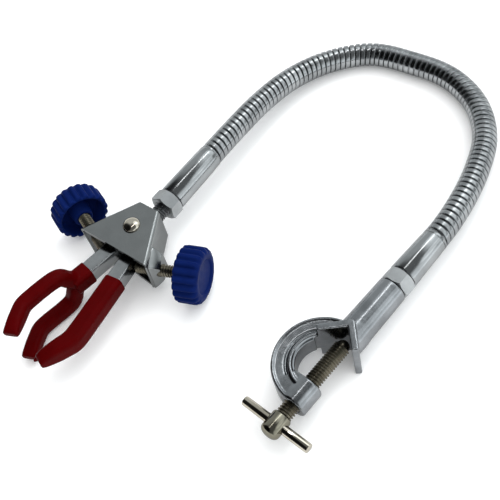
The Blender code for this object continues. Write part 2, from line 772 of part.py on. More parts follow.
def clamp_frame(clamp):
    """One casting: barrel, V jaw, C-shaped bow and the screw's boss."""
    bow_side, open_side = JAW_REACHES
    slant = JAW_PLATE * math.sqrt(0.5)
    jaw = [
        (-0.5, 0.5),
        (-bow_side, bow_side),
        (-bow_side - slant, bow_side - slant),
        (-2 * slant, 0),
        (-open_side - slant, slant - open_side),
        (-open_side, -open_side),
        (-0.5, -0.5),
    ]
    frame = add(
        "clamp_frame", prism(jaw, -JAW_HALF_HEIGHT, JAW_HALF_HEIGHT), "cast_chrome", clamp
    )
    barrel = [
        (-9.0, 7.4),
        (-3.0, 7.6),
        (2.0, 7.2),
        (BARREL_LENGTH - 1.0, 6.95),
        (BARREL_LENGTH, 6.0),
    ]
    combine(frame, add("barrel", turned(barrel, 28), None, clamp), "UNION")
    steps = 20
    start, end = math.radians(14), math.radians(180)
    rings = [bow_ring(start + (end - start) * i / steps) for i in range(steps + 1)]
    combine(frame, add("bow", skin(rings), None, clamp), "UNION")
    low, high = BOSS_X
    boss = [
        (low, BOSS_RADIUS - 0.7),
        (low + 0.7, BOSS_RADIUS),
        (high - 0.7, BOSS_RADIUS),
        (high, BOSS_RADIUS - 0.7),
    ]
    combine(frame, add("boss", turned(boss, 28), None, clamp), "UNION")
    throat = [(-2 * slant, 0), (-15.2, 15.2 - 2 * slant), (-15.2, 2 * slant - 15.2)]
    throat_cut = add("throat_cut", prism(throat, -13, 13), None, clamp)
    combine(frame, throat_cut, "DIFFERENCE")
    drill_along_x(frame, low - 3, high + 3, CLAMP_SCREW_RADIUS + GAP, clamp)
    bore = turned([(12.0, STUD_RADIUS + GAP), (BARREL_LENGTH + 2, STUD_RADIUS + GAP)], 24)
    combine(frame, add("barrel_bore", bore, None, clamp), "DIFFERENCE")


def clamp_screw(clamp):
    """Threaded shank with a round tip that seats in the V jaw."""
    radius = CLAMP_SCREW_RADIUS
    profile = [(CLAMP_SCREW_HEAD_X + GAP, radius)]
    for share in (0.0, 0.25, 0.5, 0.75, 0.92):
        a = share * math.pi / 2
        x = CLAMP_SCREW_TIP_X - radius + radius * math.sin(a)
        profile.append((x, radius * math.cos(a)))
    bm = turned(profile, 24, last_pole=CLAMP_SCREW_TIP_X)
    add("clamp_screw", bm, "nickel_steel", clamp)


def clamp_screw_head(clamp):
    profile = [
        (CLAMP_SCREW_END_X + 0.3, 0.45 * CLAMP_HEAD_RADIUS),
        (CLAMP_SCREW_END_X + 1.0, 0.78 * CLAMP_HEAD_RADIUS),
        (CLAMP_SCREW_END_X + 2.2, 0.96 * CLAMP_HEAD_RADIUS),
        (CLAMP_SCREW_END_X + 3.0, CLAMP_HEAD_RADIUS),
        (CLAMP_SCREW_HEAD_X - 0.6, CLAMP_HEAD_RADIUS),
        (CLAMP_SCREW_HEAD_X, CLAMP_SCREW_RADIUS),
    ]
    head = add(
        "clamp_screw_head",
        turned(profile, 24, first_pole=CLAMP_SCREW_END_X),
        "nickel_steel",
        clamp,
    )
    radius = TEE_BAR_RADIUS + GAP
    bm = turned([(-9, radius), (9, radius)], 20)
    bmesh.ops.rotate(bm, verts=bm.verts, matrix=Matrix.Rotation(math.pi / 2, 3, "Z"))
    bmesh.ops.translate(bm, verts=bm.verts, vec=(TEE_BAR_X, 0, 0))
    combine(head, add("tee_bar_hole", bm, None, clamp), "DIFFERENCE")


def clamp_tee_bar(clamp):
    half = TEE_BAR_HALF_LENGTH
    profile = [
        (-half, TEE_BAR_RADIUS - 0.35),
        (-half + 0.35, TEE_BAR_RADIUS),
        (half - 0.35, TEE_BAR_RADIUS),
        (half, TEE_BAR_RADIUS - 0.35),
    ]
    bm = turned(profile, 16)
    bmesh.ops.rotate(bm, verts=bm.verts, matrix=Matrix.Rotation(math.pi / 2, 3, "Z"))
    bmesh.ops.translate(bm, verts=bm.verts, vec=(TEE_BAR_X, 0, 0))
    add("clamp_tee_bar", bm, "nickel_steel", clamp)


def build_head():
    head = empty("head", HEAD_PIVOT, HEAD_TURN)
    housing_shell(head)
    housing_base(head)
    housing_end_block(head)
    pivot_rivet(head)
    arm_spring(head)
    pivot_spacer(head)
    fork_arm(head)
    fork_vinyl(head)
    single_arm(head)
    single_vinyl(head)
    for side, stem in (("fork", FORK_STEM), ("single", SINGLE_STEM)):
        frame = screw_frames(head)[side]
        thumb_screw(side, stem, frame)
        knob(side, frame)
    stud("front_stud", 8.4, FRONT_FERRULE_X + 12, "black_steel", head)
    hex_nut("front_lock_nut", FRONT_NUT_X, head)
    ferrule("front_ferrule", FRONT_FERRULE_X, FRONT_FERRULE_LENGTH, 6.7, 6.25, 0.0, head)


def build_clamp():
    clamp = empty("clamp", CLAMP_APEX, CLAMP_TURN)
    clamp_frame(clamp)
    clamp_screw(clamp)
    clamp_screw_head(clamp)
    clamp_tee_bar(clamp)
    stud("rear_stud", 14.5, REAR_FERRULE_X + 9, "black_steel", clamp)
    hex_nut("rear_lock_nut", REAR_NUT_X, clamp)
    ferrule("rear_ferrule", REAR_FERRULE_X, REAR_FERRULE_LENGTH, 6.8, 6.0, 0.2, clamp)


def main():
    clear_scene()
    build_clamp()
    gooseneck()
    build_head()


main()
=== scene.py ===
"""Looks of the flexible-arm clamp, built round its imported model.

Lengths are in millimetres and are turned into metres when a mesh is made. The head, the clamp and
the thumb screws have frames of their own, with X along their axis: towards the gooseneck for the
head and the clamp, and outwards for a screw.
"""

import json
import math

import bmesh
import bpy
import numpy as np
from mathutils import Matrix, Vector
from mathutils.geometry import interpolate_bezier


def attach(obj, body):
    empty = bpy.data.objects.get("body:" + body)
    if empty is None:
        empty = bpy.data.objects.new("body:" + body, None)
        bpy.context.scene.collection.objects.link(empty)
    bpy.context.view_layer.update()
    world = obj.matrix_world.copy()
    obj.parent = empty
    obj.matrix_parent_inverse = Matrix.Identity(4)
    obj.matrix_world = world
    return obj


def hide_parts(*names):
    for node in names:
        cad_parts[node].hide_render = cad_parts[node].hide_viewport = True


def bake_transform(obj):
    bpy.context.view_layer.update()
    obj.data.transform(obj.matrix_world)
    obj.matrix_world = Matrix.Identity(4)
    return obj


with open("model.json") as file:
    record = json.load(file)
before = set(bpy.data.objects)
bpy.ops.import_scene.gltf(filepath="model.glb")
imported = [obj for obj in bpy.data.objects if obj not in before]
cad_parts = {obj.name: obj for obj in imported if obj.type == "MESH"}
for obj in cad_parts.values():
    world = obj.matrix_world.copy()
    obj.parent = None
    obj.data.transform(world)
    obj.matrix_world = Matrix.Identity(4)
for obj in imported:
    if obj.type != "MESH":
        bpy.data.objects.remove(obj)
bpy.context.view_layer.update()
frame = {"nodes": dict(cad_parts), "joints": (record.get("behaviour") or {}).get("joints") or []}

MM = 0.001
JOINTS = {joint["name"]: joint for joint in frame["joints"]}

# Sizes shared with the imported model.
TEE_BAR_X = -53.3
FERRULE_ENDS = (58.3, 57.4)  # hose ends of the rear and the front ferrule, along their axes
HOSE_RADIUS = 6.0


# ---- Places -------------------------------------------------------------------------------------


def axis_frame(origin, along):
    """A frame with its X along a level direction."""
    turn = math.atan2(along[1], along[0])
    return Matrix.Translation(Vector(origin) / MM) @ Matrix.Rotation(turn, 4, "Z")


def joint_frame(name, back=0.0):
    """A joint's place, moved along its axis, with X along that axis."""
    axis = Vector(JOINTS[name]["axis"])
    return axis_frame(Vector(JOINTS[name]["pos_m"]) - axis * back * MM, axis)


HEAD = axis_frame(JOINTS["fork_arm_swing"]["pos_m"], JOINTS["front_swivel"]["axis"])
CLAMP = joint_frame("clamp_handle_turn", TEE_BAR_X)
SCREWS = {
    side: joint_frame(side + "_knob_turn") @ Matrix.Rotation(math.pi, 4, "Z")
    for side in ("fork", "single")
}


# ---- Mesh helpers -------------------------------------------------------------------------------


def add(name, bm, place, sharp=35.0):
    """An object from a mesh in millimetres, in one of the frames."""
    bmesh.ops.recalc_face_normals(bm, faces=bm.faces)
    bmesh.ops.transform(bm, matrix=Matrix.Scale(MM, 4) @ place, verts=bm.verts)
    mesh = bpy.data.meshes.new(name)
    bm.to_mesh(mesh)
    bm.free()
    obj = bpy.data.objects.new(name, mesh)
    bpy.context.scene.collection.objects.link(obj)
    mesh.shade_smooth()
    if sharp:
        mesh.set_sharp_from_angle(angle=math.radians(sharp))
    return obj


def skin(rows, loop=False, caps=True, bm=None):
    """A skin over rings of points; loop joins the last ring to the first, caps close flat ends."""
    bm = bm or bmesh.new()
    rings = [[bm.verts.new(point) for point in row] for row in rows]
    count = len(rings[0])
    following = rings[1:] + rings[:1] if loop else rings[1:]
    for ring, after in zip(rings, following):
        for i in range(count):
            k = (i + 1) % count
            bm.faces.new((ring[i], ring[k], after[k], after[i]))
    if caps and not loop:
        bm.faces.new(rings[0])
        bm.faces.new(rings[-1])
    return bm


def prism(outline, low, high):
    """An upright prism over an outline, between two heights."""
    return skin([[Vector((x, y, z)) for x, y in outline] for z in (low, high)])


def circle(x, radius, sides):
    turns = (2 * math.pi * i / sides for i in range(sides))
    return [Vector((x, radius * math.cos(a), radius * math.sin(a))) for a in turns]


def turned(profile, sides=64, loop=False):
    """A turned piece about X from (x, radius) pairs; a zero radius closes the piece in a point."""
    rows = [circle(x, radius, sides) for x, radius in profile]
    bm = skin(rows, loop=loop, caps=False)
    if not loop:
        bmesh.ops.remove_doubles(bm, verts=bm.verts, dist=1e-5)
        ends = [edge for edge in bm.edges if edge.is_boundary]
        bmesh.ops.holes_fill(bm, edges=ends, sides=sides)
    return bm


def helix_skin(rows, per_turn, first=0, last=None, dark=()):
    """A skin over helical rows, each going on into the row one turn later; dark rows get slot 1,
    where the painted shade goes.
    """
    bm = bmesh.new()
    made = {}

    def vertex(row, i):
        row = min(row, len(rows) - 1)
        if (row, i) not in made:
            made[row, i] = bm.verts.new(rows[row][i])
        return made[row, i]

    count = len(rows[0])
    for row in range(first, len(rows) - 1 if last is None else last):
        for i in range(count):
            shift, k = (per_turn, 0) if i == count - 1 else (0, i + 1)
            corners = (
                vertex(row, i),
                vertex(row + shift, k),
                vertex(row + shift + 1, k),
                vertex(row + 1, i),
            )
            face = bm.faces.new(dict.fromkeys(corners))
            face.material_index = int(row % per_turn in dark)
    return bm


def upright(bm):
    """Turns a piece made about X so that it stands about Z."""
    bmesh.ops.rotate(bm, verts=bm.verts, matrix=Matrix.Rotation(-math.pi / 2, 3, "Y"))
    return bm


def arc(centre, radius, start, end, steps):
    """Points of a round corner in a plane, angles in degrees."""
    points = []
    for i in range(steps + 1):
        a = math.radians(start + (end - start) * i / steps)
        points.append((centre[0] + radius * math.cos(a), centre[1] + radius * math.sin(a)))
    return points


def dome(x, radius, height, steps):
    """Profile of a dome about X, from just above its foot to its top."""
    turns = [math.pi / 2 * i / steps for i in range(1, steps)]
    points = [(x + height * math.sin(a), radius * math.cos(a)) for a in turns]
    return points + [(x + height, 0.0)]


def apply_modifiers(obj):
    """Makes an object's mesh the result of its modifiers."""
    graph = bpy.context.evaluated_depsgraph_get()
    mesh = bpy.data.meshes.new_from_object(obj.evaluated_get(graph))
    obj.modifiers.clear()
    obj.data = mesh
    return obj


def bevel(obj, width, segments=2, angle=30):
    """Rounds an object's edges that are sharper than an angle."""
    modifier = obj.modifiers.new("bevel", "BEVEL")
    modifier.width = width * MM
    modifier.segments = segments
    modifier.limit_method = "ANGLE"
    modifier.angle_limit = math.radians(angle)
    modifier.harden_normals = True
    return apply_modifiers(obj)


def combine(obj, others, operation):
    """Joins other objects to obj, or cuts them out of it, and removes them."""
    for other in others:
        modifier = obj.modifiers.new(operation.lower(), "BOOLEAN")
        modifier.operation = operation
        modifier.solver = "EXACT"
        modifier.object = other
        apply_modifiers(obj)
        bpy.data.objects.remove(other)


def rounded_from_voxels(obj, voxel, rounds):
    """Rebuilds a mesh on a fine grid and smooths it: corners get round and fillets are filled."""
    remesh = obj.modifiers.new("remesh", "REMESH")
    remesh.mode = "VOXEL"
    remesh.voxel_size = voxel * MM
    remesh.use_smooth_shade = True
    smooth = obj.modifiers.new("smooth", "SMOOTH")
    smooth.factor = 0.5
    smooth.iterations = rounds
    apply_modifiers(obj)


def dress(obj, body, slot, materials, *nodes):
    """Gives a piece its materials, its body and the nodes that it stands for; slot is not used."""
    obj.data.materials.clear()
    for material in materials:
        obj.data.materials.append(material)
    if body:
        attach(obj, body)
    if nodes:
        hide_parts(*nodes)


# ---- Materials ----------------------------------------------------------------------------------


class Nodes:
    """A material's node tree, with short calls to add and join nodes."""

    def __init__(self, name):
        self.material = bpy.data.materials.new(name)
        self.material.use_nodes = True
        self.tree = self.material.node_tree
        self.shader = self.tree.nodes["Principled BSDF"]
        self.coordinates = self.tree.nodes.new("ShaderNodeTexCoord").outputs["Object"]

    def link(self, output, socket):
        self.tree.links.new(output, socket)

    def noise(self, scale, detail=3.0):
        node = self.tree.nodes.new("ShaderNodeTexNoise")
        node.inputs["Scale"].default_value = scale
        node.inputs["Detail"].default_value = detail
        node.inputs["Roughness"].default_value = 0.55
        self.link(self.coordinates, node.inputs["Vector"])
        return node.outputs["Fac"]

    def ramp(self, source, stops, socket):
        """Sets one of the shader's sockets by a ramp of (position, grey or colour)."""
        node = self.tree.nodes.new("ShaderNodeValToRGB")
        elements = node.color_ramp.elements
        for element, (position, value) in zip(elements, stops):
            element.position = position
            colour = value if isinstance(value, tuple) else (value, value, value)
            element.color = (*colour, 1.0)
        self.link(source, node.inputs["Fac"])
        self.link(node.outputs["Color"], self.shader.inputs[socket])

    def bump(self, heights):
        """Bumps from (height, strength, distance in mm), one after the other."""
        normal = None
        for height, strength, distance in heights:
            node = self.tree.nodes.new("ShaderNodeBump")
            node.inputs["Strength"].default_value = strength
            node.inputs["Distance"].default_value = distance * MM
            self.link(height, node.inputs["Height"])
            if normal:
                self.link(normal, node.inputs["Normal"])
            normal = node.outputs["Normal"]
        self.link(normal, self.shader.inputs["Normal"])


EDGE_TINT = (0.6, 0.6, 0.6, 1.0)  # keeps the metals' outlines from turning white


def metal(name, colour, dull, roughness, wave, grain):
    """Plated metal: colour and a duller patch colour, a roughness range, waves and fine grain.

    wave and grain are (noise scale per metre, strength, distance in mm)."""
    nodes = Nodes(name)
    nodes.shader.inputs["Metallic"].default_value = 1.0
    nodes.shader.inputs["Specular Tint"].default_value = EDGE_TINT
    nodes.ramp(nodes.noise(90.0), [(0.35, dull), (0.6, colour)], "Base Color")
    low, high = roughness
    nodes.ramp(nodes.noise(260.0, 5.0), [(0.3, low), (0.7, high)], "Roughness")
    bumps = []
    for scale, strength, distance in (wave, grain):
        bumps.append((nodes.noise(scale, 4.0), strength, distance))
    nodes.bump(bumps)
    return nodes.material


def plastic(name, colour, shade, roughness, grain, specular):
    """Moulded or dipped plastic with faint colour change and fine grain."""
    nodes = Nodes(name)
    nodes.ramp(nodes.noise(120.0), [(0.3, shade), (0.7, colour)], "Base Color")
    low, high = roughness
    nodes.ramp(nodes.noise(500.0, 4.0), [(0.3, low), (0.7, high)], "Roughness")
    nodes.shader.inputs["Specular IOR Level"].default_value = specular
    bumps = []
    for scale, strength, distance in grain:
        bumps.append((nodes.noise(scale, 3.0), strength, distance))
    nodes.bump(bumps)
    return nodes.material


CHROME = metal(
    "chrome_plate",
    (0.315, 0.325, 0.33),
    (0.265, 0.275, 0.28),
    (0.12, 0.2),
    (35.0, 0.06, 0.6),
    (900.0, 0.05, 0.1),
)
FOLDED_CHROME = metal(
    "folded_chrome",
    (0.218, 0.227, 0.227),
    (0.198, 0.206, 0.206),
    (0.17, 0.26),
    (30.0, 0.04, 0.6),
    (800.0, 0.05, 0.08),
)
NUT_PLATE = metal(
    "nut_plate",
    (0.38, 0.392, 0.397),
    (0.3, 0.31, 0.315),
    (0.34, 0.46),
    (90.0, 0.05, 0.3),
    (1200.0, 0.10, 0.06),
)
CAST_CHROME = metal(
    "cast_chrome_plate",
    (0.252, 0.262, 0.273),
    (0.182, 0.19, 0.198),
    (0.12, 0.24),
    (260.0, 0.12, 0.5),
    (1100.0, 0.16, 0.1),
)
HOSE_STEEL = metal(
    "wound_strip",
    (0.33, 0.34, 0.346),
    (0.235, 0.243, 0.249),
    (0.12, 0.26),
    (90.0, 0.05, 0.3),
    (1100.0, 0.22, 0.08),
)
# Near-black steel put into the hose's seams and the studs' thread roots: painted shade for the
# shadow in those grooves.
SEAM_SHADE = metal(
    "strip_seam_painted_shade",
    (0.018, 0.019, 0.02),
    (0.008, 0.0085, 0.009),
    (0.35, 0.5),
    (90.0, 0.05, 0.3),
    (1400.0, 0.12, 0.06),
)
# Near-black put into the screws' thread roots and flanks: painted shade for the shadow in the
# grooves.
THREAD_ROOT_SHADE = metal(
    "thread_root_painted_shade",
    (0.012, 0.0105, 0.007),
    (0.005, 0.0045, 0.003),
    (0.35, 0.5),
    (60.0, 0.05, 0.4),
    (1200.0, 0.08, 0.06),
)
NICKEL = metal(
    "warm_nickel",
    (0.5, 0.462, 0.39),
    (0.4, 0.366, 0.3),
    (0.06, 0.13),
    (60.0, 0.05, 0.4),
    (1200.0, 0.06, 0.06),
)
# A darker copy of the warm nickel for the clamp screw's dome: painted shade standing in for the
# dark reflections across it.
SHADED_NICKEL = metal(
    "nickel_painted_shade",
    (0.203, 0.191, 0.15),
    (0.15, 0.143, 0.109),
    (0.08, 0.16),
    (60.0, 0.05, 0.4),
    (1200.0, 0.06, 0.06),
)
THREAD_NICKEL = metal(
    "threaded_nickel",
    (0.185, 0.168, 0.129),
    (0.125, 0.112, 0.084),
    (0.2, 0.36),
    (60.0, 0.05, 0.4),
    (1200.0, 0.08, 0.06),
)
BLACK_STEEL = metal(
    "oiled_thread",
    (0.20, 0.205, 0.21),
    (0.10, 0.104, 0.108),
    (0.2, 0.4),
    (150.0, 0.1, 0.3),
    (1200.0, 0.2, 0.1),
)
SPRING_STEEL = metal(
    "spring_wire",
    (0.30, 0.30, 0.31),
    (0.2, 0.2, 0.21),
    (0.2, 0.35),
    (150.0, 0.1, 0.3),
    (1200.0, 0.1, 0.06),
)
VINYL = plastic(
    "dipped_vinyl",
    (0.069, 0.0005, 0.0009),
    (0.056, 0.0004, 0.0007),
    (0.26, 0.38),
    [(140.0, 0.10, 0.5), (1300.0, 0.03, 0.06)],
    specular=0.02,
)
BLUE = plastic(
    "moulded_blue",
    (0.0035, 0.012, 0.085),
    (0.0025, 0.009, 0.068),
    (0.34, 0.48),
    [(300.0, 0.06, 0.2), (2400.0, 0.06, 0.05)],
    specular=0.015,
)


# ---- Gooseneck ----------------------------------------------------------------------------------


def smooth_path(points, steps, ends=None):
    """Points on a smooth curve through the given ones, with handles a third of each span long.

    ends are the directions at the first and the last point, if they are known."""
    knots = [Vector(point) for point in points]
    slopes = []
    for i in range(len(knots)):
        before = knots[max(i - 1, 0)]
        after = knots[min(i + 1, len(knots) - 1)]
        slopes.append((after - before).normalized())
    if ends:
        slopes[0], slopes[-1] = ends
    path = [knots[0]]
    for i in range(len(knots) - 1):
        reach = (knots[i + 1] - knots[i]).length / 3
        start = knots[i] + slopes[i] * reach
        end = knots[i + 1] - slopes[i + 1] * reach
        path += interpolate_bezier(knots[i], start, end, knots[i + 1], steps + 1)[1:]
    return path


def hose_line():
    """The bending joints, and the centre line through their places from the clamp to the head."""
    joints = [joint for joint in frame["joints"] if joint["name"].startswith(("bend", "lift"))]
    knots = [CLAMP @ Vector((FERRULE_ENDS[0], 0, 0))]
    knots += [Vector(joint["pos_m"]) / MM for joint in joints]
    knots.append(HEAD @ Vector((FERRULE_ENDS[1], 0, 0)))
    ends = (CLAMP.to_3x3() @ Vector((1, 0, 0)), HEAD.to_3x3() @ Vector((-1, 0, 0)))
    path = smooth_path(knots, 40, ends)
    return joints, Line(np.array([tuple(point) for point in path]))


class Line:
    """A centre line with a place, a direction, a side and a curvature at any distance along it."""

    def __init__(self, dense):
        steps = np.linalg.norm(np.diff(dense, axis=0), axis=1)
        self.marks = np.concatenate([[0.0], np.cumsum(steps)])
        self.dense = dense
        self.length = self.marks[-1]
        slopes = np.gradient(dense, self.marks, axis=0)
        self.slopes = slopes / np.linalg.norm(slopes, axis=1)[:, None]
        self.bends = np.gradient(self.slopes, self.marks, axis=0)

    def at(self, distance):
        def pick(table):
            return np.array([np.interp(distance, self.marks, table[:, i]) for i in range(3)])

        forward = pick(self.slopes)
        forward /= np.linalg.norm(forward)
        side = np.array([forward[1], -forward[0], 0.0])
        side /= np.linalg.norm(side)
        return pick(self.dense), forward, side, np.cross(side, forward), pick(self.bends)


HOSE_SIDES = 48
HOSE_PITCH = 3.04  # length of one turn of strip along the hose
# One turn of the strip: places across its band, from 0 to 1, and heights over the hose's radius.
SEAM_MIDDLE = -1.0
STRIP = [
    (SEAM_MIDDLE, -0.8),
    (0.0, -0.65),
    (0.02, -0.25),
    (0.045, -0.06),
    (0.085, 0.005),
    (0.15, 0.02),
    (0.85, 0.02),
    (0.915, 0.005),
    (0.955, -0.06),
    (0.98, -0.25),
]
SEAM_SHADE_ROWS = (0, 1, len(STRIP) - 1)  # rows of faces in the seam, which take the painted shade
BAND = 2.38  # width of one visible turn of strip
NARROWEST_SEAM = 0.15  # share of a turn that the seam keeps where the strip closes up
END_GAP = 0.05  # between the strip's ends and the line's ends
BEND_REACH = 7.5  # a reach along the line at each joint, worked out for each sleeve but not used


def hose_row(line, turn, across, height):
    """One helical row of points. across below 0 is the middle of the seam before the band."""
    row = []
    for i in range(HOSE_SIDES):
        share = i / HOSE_SIDES
        a = 2 * math.pi * share
        distance = (turn + share) * HOSE_PITCH
        distance = min(max(distance, 0.0), line.length)
        _, _, side, rise, bend = line.at(distance)
        out = side * math.cos(a) + rise * math.sin(a)
        stretch = 1.0 - HOSE_RADIUS * float(np.dot(bend, out))
        band = min(BAND / (HOSE_PITCH * stretch), 1 - NARROWEST_SEAM)
        place = 0.0 if across < 0 else (1 - band) / 2 + across * band
        distance = (turn + share + place) * HOSE_PITCH
        distance = min(max(distance, END_GAP), line.length - END_GAP)
        point, _, side, rise, _ = line.at(distance)
        out = side * math.cos(a) + rise * math.sin(a)
        row.append(Vector(point + out * (HOSE_RADIUS + height)))
    return row


def hose_sleeves():
    """The wound strip, in one length for each joint, which bends across it."""
    joints, line = hose_line()
    turns = int(line.length / HOSE_PITCH) + 1
    rows = []
    for turn in range(-1, turns):
        for across, height in STRIP:
            rows.append(hose_row(line, turn, across, height))
    per_turn = len(STRIP)
    spacing = line.length / (len(joints) + 1)
    cuts = [0]
    for number in range(1, len(joints)):
        middle = spacing * (number + 0.5)
        cuts.append((round(middle / HOSE_PITCH) + 1) * per_turn)
    cuts.append(len(rows) - 1)
    for number, joint in enumerate(joints, start=1):
        first, last = cuts[number - 1], cuts[number]
        bm = helix_skin(rows, per_turn, first, last, SEAM_SHADE_ROWS)
        bmesh.ops.remove_doubles(bm, verts=bm.verts, dist=1e-4)
        sleeve = add(f"gooseneck_strip_{number:02d}", bm, Matrix.Identity(4), sharp=48)
        nodes = [f"gooseneck_link_{number + 1:02d}"]
        if number == 1:
            nodes.append("gooseneck_link_01")
        # The seam rows get the near-black painted shade.
        dress(sleeve, None, "gooseneck_steel", (HOSE_STEEL, SEAM_SHADE), *nodes)
        reach = Vector(line.at(spacing * number)[1]) * BEND_REACH * MM
        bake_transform(sleeve)


# ---- Threads, nuts and turned fittings ----------------------------------------------------------


# One turn of thread: places along it and shares of its depth, and which of its rows get painted
# shade.
THREAD_TURN = [
    (0.0, 0.0),
    (0.14, 0.0),
    (0.32, 0.6),
    (0.44, 1.0),
    (0.56, 1.0),
    (0.68, 0.6),
    (0.86, 0.0),
]
THREAD_SHADE_ROWS = (0, 1, 5, 6)
# Radius, pitch and depth of each thread.
STUD_THREAD = (4.0, 1.25, 0.6)
THUMB_THREAD = (3.0, 1.27, 0.65)
CLAMP_THREAD = (3.8, 1.32, 0.8)


def threaded(start, end, thread, tips, sides=40):
    """A threaded rod about X between two places. tips are (x, radius) points beyond each end."""
    radius, pitch, depth = thread
    first_tip, last_tip = tips
    rows = []
    for turn in range(-1, int((end - start) / pitch) + 2):
        for place, crest in THREAD_TURN:
            row = []
            for i in range(sides):
                share = i / sides
                a = 2 * math.pi * share
                x = start + (turn + share + place) * pitch
                r = radius - depth + depth * crest
                if x <= start or x >= end:
                    x = min(max(x, start), end)
                    r = radius - depth
                row.append(Vector((x, r * math.cos(a), r * math.sin(a))))
            rows.append(row)
    bm = helix_skin(rows, len(THREAD_TURN), dark=THREAD_SHADE_ROWS)
    root = radius - depth
    for tip in (first_tip + [(start, root)], [(end, root)] + last_tip):
        skin([circle(x, tip_radius, sides) for x, tip_radius in tip], caps=False, bm=bm)
    bmesh.ops.remove_doubles(bm, verts=bm.verts, dist=1e-4)
    bmesh.ops.dissolve_degenerate(bm, edges=bm.edges, dist=1e-5)
    return bm


NUT_LENGTH = 7.0
NUT_FLAT = 6.5  # half of the width across the flats
NUT_BORE = 4.1
NUT_CHAMFER = 0.75  # how far along the nut its corners are turned off
NUT_SINK = 0.7  # depth and width of the countersinks
REAR_NUT_X, REAR_FERRULE_X = 26.1, 33.4
FRONT_NUT_X, FRONT_FERRULE_X = 19.3, 26.6
REAR_NUT_TURN = 28.0


def hexagon(x, place, name, turned_by):
    """A nut with its corners turned off at both ends and an open bore."""
    flat, bore, end = NUT_FLAT, NUT_BORE, x + NUT_LENGTH
    corner = flat / math.cos(math.pi / 6)
    rows = []
    for at in (x, end):
        turns = (math.radians(60 * k + 30 + turned_by) for k in range(6))
        rows.append([Vector((at, corner * math.cos(a), corner * math.sin(a))) for a in turns])
    body = add(name, skin(rows), place, sharp=0)
    cone = [
        (x, 0),
        (x, flat - 0.15),
        (x + NUT_CHAMFER, corner + 0.15),
        (end - NUT_CHAMFER, corner + 0.15),
        (end, flat - 0.15),
        (end, 0),
    ]
    combine(body, [add(name + "_cone", turned(cone, 96), place)], "INTERSECT")
    hole = [(x - 1, 0), (x - 1, bore), (end + 1, bore), (end + 1, 0)]
    combine(body, [add(name + "_bore", turned(hole, 64), place)], "DIFFERENCE")
    wide = bore + NUT_SINK + 1
    for face, sign in ((x, 1), (end, -1)):
        inner = face + NUT_SINK * sign
        cut = [(face - sign, 0), (face - sign, wide), (inner, bore - 0.05), (inner, 0)]
        combine(body, [add(name + "_sink", turned(cut, 64), place)], "DIFFERENCE")
    body.data.shade_smooth()
    body.data.set_sharp_from_angle(angle=math.radians(24))
    return bevel(body, 0.12, 2, 40)


RING_PROFILE = ((-0.28, -0.02), (-0.16, -0.32), (0.16, -0.32), (0.28, -0.02))  # x and depth


def ferrule(name, x, end, nut_radius, hose_radius, rings, place):
    """An end fitting: an eased nut end, a long taper, and rings where the hose goes in."""
    outer = [(x, 4.4), (x, nut_radius - 0.45)]
    outer += [(x + 0.12, nut_radius - 0.2), (x + 0.45, nut_radius)]
    outer += [(end - 5.0, hose_radius + 0.12), (end - 3.2, hose_radius)]
    for back in rings:
        outer += [(end - back + x_ring, hose_radius + depth) for x_ring, depth in RING_PROFILE]
    outer += [(end - 0.35, hose_radius - 0.02), (end - 0.08, hose_radius - 0.2)]
    outer += [(end - 0.02, hose_radius - 0.6), (end - 0.02, 5.3), (x + 12.0, 5.3), (x + 12.0, 4.4)]
    return add(name, turned(outer, 96, loop=True), place, sharp=40)


def fittings():
    """The nuts, the ferrules and the studs at both ends of the gooseneck."""
    for end, place, nut_x, turned_by in (
        ("rear", CLAMP, REAR_NUT_X, REAR_NUT_TURN),
        ("front", HEAD, FRONT_NUT_X, 0.0),
    ):
        nut = hexagon(nut_x, place, end + "_hex_nut", turned_by)
        dress(nut, end + "_nut", "polished_chrome", [NUT_PLATE], end + "_lock_nut")
    for end, body, x, hose_end, radii, rings, place in (
        ("rear", "arm_base", REAR_FERRULE_X, FERRULE_ENDS[0], (6.8, 6.15), (1.5, 2.6), CLAMP),
        ("front", "arm_end", FRONT_FERRULE_X, FERRULE_ENDS[1], (6.7, 6.3), (), HEAD),
    ):
        fitting = ferrule(end + "_fitting", x, hose_end, *radii, rings, place)
        dress(fitting, body, "polished_chrome", [CHROME], end + "_ferrule")
    for end, body, place, start, stop in (
        ("rear", "arm_base", CLAMP, 14.5, REAR_FERRULE_X + 9),
        ("front", "head", HEAD, 8.4, FRONT_FERRULE_X + 9),
    ):
        tips = ([(start, 0.0), (start, 3.3)], [(stop, 3.3), (stop, 0.0)])
        bm = threaded(start, stop, STUD_THREAD, tips)
        rod = add(end + "_threaded_stud", bm, place, sharp=0)
        # The thread's dark rows get the near-black painted shade.
        dress(rod, body, "black_steel", (BLACK_STEEL, SEAM_SHADE), end + "_stud")


# ---- Housing ------------------------------------------------------------------------------------

HOUSING_REAR = (12.6, 6.7)  # x and half width behind, at the front stud
HOUSING_FRONT = (-13.9, 21.4)  # x and half width in front
HALF_HEIGHT = 10.0
SHEET = 2.0
BEND = 2.0  # outer radius of the folds
INNER_BEND = 0.15
NOTCH = 1.8  # how far back the middle of the plate's front edge lies
FLARE = -1.0  # how far out the walls' lower edges stand; below zero the walls lean in
WALL_FORWARD = Vector((-0.8744, 0.4851, 0.0))
WALL_OUT = Vector((0.4851, 0.8744, 0.0))
SCREW_BORE = 3.1


